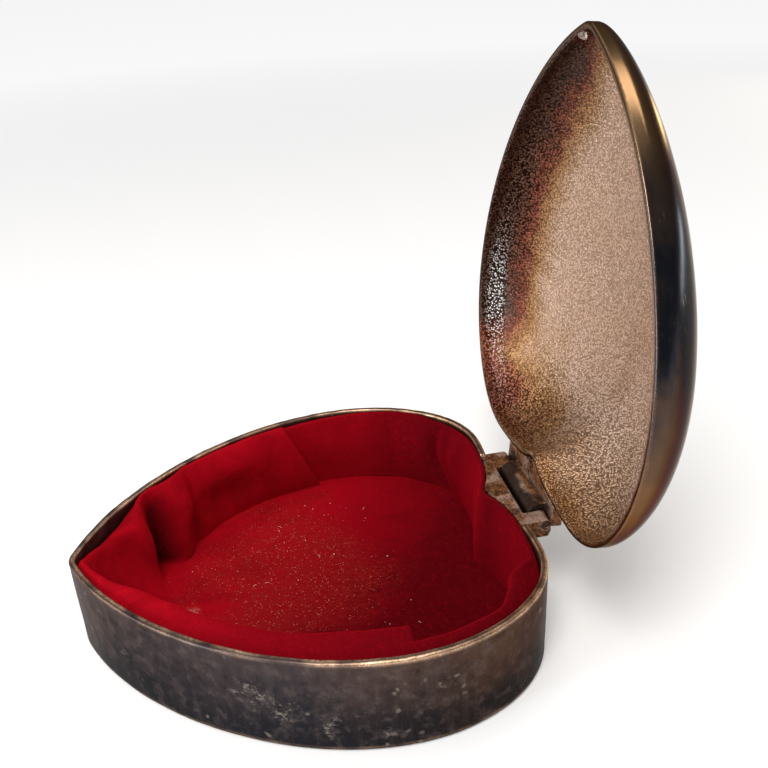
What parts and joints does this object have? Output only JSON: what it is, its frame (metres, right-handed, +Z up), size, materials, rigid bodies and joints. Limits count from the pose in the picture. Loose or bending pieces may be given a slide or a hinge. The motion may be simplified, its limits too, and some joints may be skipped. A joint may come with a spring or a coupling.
{
  "type": "heart-shaped hinged trinket box",
  "caption": "Cast-metal heart-shaped trinket box with a puffed lid hinged at the cleft, and a tray lined with velvet.",
  "frame": {"origin": "middle of the heart's length and width, on the flat underside of the base", "axes": "+Z up from the surface the box stands on; +X along the hinge's axis, from the left lobe to the right lobe; +Y from the heart's tip towards its cleft and hinge"},
  "size_m": [0.09, 0.1208, 0.1123],
  "materials": {
    "base_plating": "silver plate, heavily tarnished to grey-brown, rim worn",
    "lid_plating": "silver plate, dark and polished outside, tan pebbled casting inside",
    "hinge_casting": "rough pitted casting",
    "pin_metal": "dull and dark",
    "card": "plain grey-brown board",
    "velvet": "crimson pile, dusty and worn"
  },
  "bodies": {
    "base": {"base_shell": "base_plating", "base_hinge_plate": "hinge_casting", "hinge_pin": "pin_metal", "floor_card": "card", "floor_velvet": "velvet", "front_velvet_strip": "velvet", "side_velvet_strip": "velvet", "back_velvet_strip": "velvet"},
    "lid": {"lid_shell": "lid_plating", "lid_hinge_plate": "hinge_casting"}
  },
  "joints": [
    {"name": "lid_hinge", "type": "hinge", "parent": "base", "child": "lid", "pos_m": [0, 0.0485, 0.0194], "axis": [1, 0, 0], "range_deg": [0, 96]}
  ]
}
